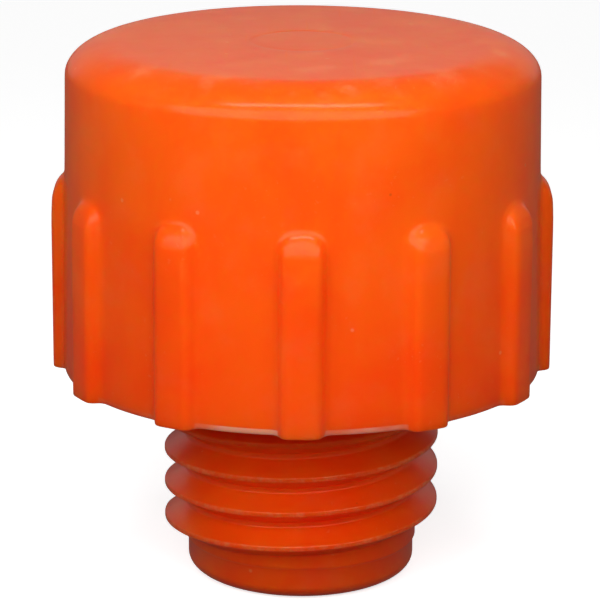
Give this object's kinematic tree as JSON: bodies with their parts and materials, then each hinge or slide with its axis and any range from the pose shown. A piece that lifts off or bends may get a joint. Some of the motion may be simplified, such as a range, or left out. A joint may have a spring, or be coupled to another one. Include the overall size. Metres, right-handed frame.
{
  "type": "screw-in hammer face",
  "caption": "Moulded plastic face for a soft-face or dead-blow hammer: a round head with a rounded striking edge and grip ribs, on a threaded stud with a plain pilot.",
  "frame": {"origin": "centre of the stud's flat end, on which the part stands", "axes": "+Z along the axis of the stud and head, out of the striking face; one grip rib is centred on -Y"},
  "size_m": [0.0396, 0.0396, 0.0432],
  "materials": {
    "orange_plastic": "semi-gloss moulded orange plastic with faint flow marks and scuffs"
  },
  "bodies": {
    "root": {"screw_in_face": "orange_plastic"}
  },
  "joints": []
}
